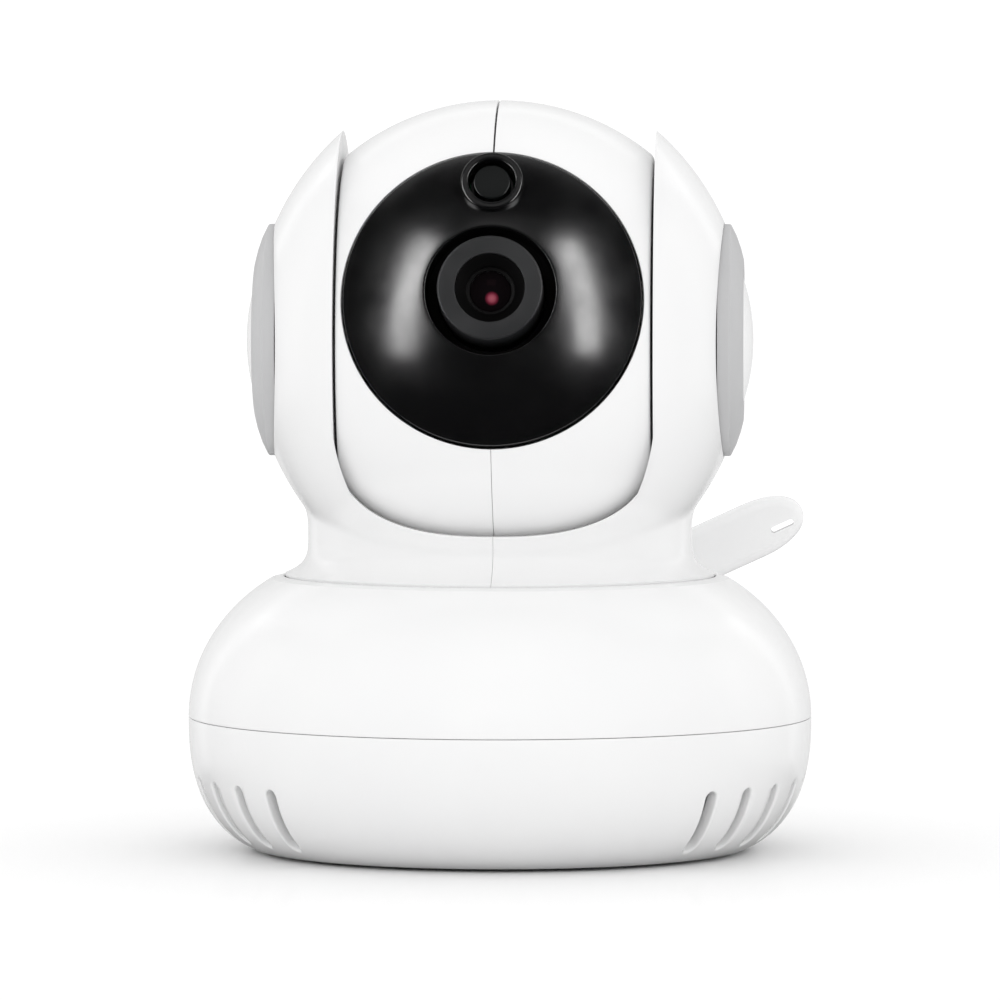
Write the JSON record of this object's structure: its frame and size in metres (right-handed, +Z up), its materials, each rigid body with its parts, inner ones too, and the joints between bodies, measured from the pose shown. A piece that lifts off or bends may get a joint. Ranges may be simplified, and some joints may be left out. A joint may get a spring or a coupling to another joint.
{
  "type": "baby monitor camera",
  "caption": "Wireless pan-and-tilt camera: round weighted base, U-shaped swivel yoke, tilting ball head with a black domed face, side ear rings and a fold-down paddle antenna.",
  "frame": {"origin": "on the pan axis, in the plane of the table, at the centre of the underside of the non-slip pad", "axes": "+Z up along the pan axis; -Y is the way the lens faces at rest; +X is the side the antenna leans to, which is the right of the picture"},
  "size_m": [0.098, 0.1029, 0.1178],
  "materials": {
    "white_shell": "glossy white ABS",
    "ear_grey": "satin light grey ABS",
    "face_black": "glossy black, passes infra-red",
    "lens_black": "matt black",
    "lens_glass": "coated glass",
    "pad_rubber": "matt",
    "board_green": "solder mask",
    "steel": "plated",
    "natural_plastic": "natural POM",
    "brass": "turned",
    "led_epoxy": "clear epoxy"
  },
  "bodies": {
    "base": {"base_lower_shell": "white_shell", "base_upper_shell": "white_shell", "non_slip_pad": "pad_rubber", "base_screw_1": "steel", "base_screw_2": "steel", "base_screw_3": "steel", "base_screw_4": "steel", "main_board": "board_green", "processor_shield": "steel", "wifi_module": "steel", "microphone": "steel", "micro_usb_socket": "steel", "memory_card_slot": "steel", "reset_switch": "lens_black", "speaker": "lens_black", "pan_motor": "steel", "pan_motor_screw_1": "steel", "pan_motor_screw_2": "steel", "pan_glide_ring": "natural_plastic", "antenna_bracket": "white_shell"},
    "yoke": {"yoke_right_shell": "white_shell", "yoke_left_shell": "white_shell", "pan_hub": "natural_plastic", "pan_retaining_ring": "steel", "pan_motor_shaft": "brass", "ear_ring_right": "ear_grey", "ear_ring_left": "ear_grey", "ear_cap_right": "white_shell", "ear_cap_left": "white_shell", "tilt_motor": "steel", "tilt_bush": "natural_plastic"},
    "head": {"head_right_shell": "white_shell", "head_left_shell": "white_shell", "face_plate": "face_black", "light_sensor_window": "face_black", "light_sensor": "led_epoxy", "lens_barrel": "lens_black", "lens_glass": "lens_glass", "lens_holder": "lens_black", "ir_cut_housing": "lens_black", "image_sensor_board": "board_green", "image_sensor": "lens_black", "ir_led_board": "board_green", "ir_led_1": "led_epoxy", "ir_led_2": "led_epoxy", "ir_led_3": "led_epoxy", "ir_led_4": "led_epoxy", "ir_led_5": "led_epoxy", "ir_led_6": "led_epoxy", "ir_led_7": "led_epoxy", "ir_led_8": "led_epoxy", "tilt_trunnion": "natural_plastic", "tilt_drive_hub": "natural_plastic", "tilt_motor_shaft": "brass"},
    "antenna": {"antenna_paddle": "white_shell", "antenna_pin": "steel"},
    "reset_button": {"reset_button": "ear_grey"},
    "ir_cut_filter": {"ir_cut_filter": "lens_glass"}
  },
  "joints": [
    {"name": "pan", "type": "hinge", "parent": "base", "child": "yoke", "pos_m": [0, 0, 0.0364], "axis": [0, 0, 1], "range_deg": [-177.5, 177.5]},
    {"name": "head_tilt", "type": "hinge", "parent": "yoke", "child": "head", "pos_m": [0, 0, 0.0802], "axis": [-1, 0, 0], "range_deg": [-22, 75]},
    {"name": "antenna_swing", "type": "hinge", "parent": "base", "child": "antenna", "pos_m": [0, 0.0516, 0.0295], "axis": [0, -1, 0], "range_deg": [-24.6, 155.4]},
    {"name": "reset_press", "type": "slide", "parent": "base", "child": "reset_button", "axis": [0.4226, -0.9063, 0], "range_m": [0, 0.0006], "stiffness_N_per_m": 400, "springref_m": -0.0005},
    {"name": "ir_filter_slide", "type": "slide", "parent": "head", "child": "ir_cut_filter", "axis": [1, 0, 0], "range_m": [0, 0.005]}
  ]
}
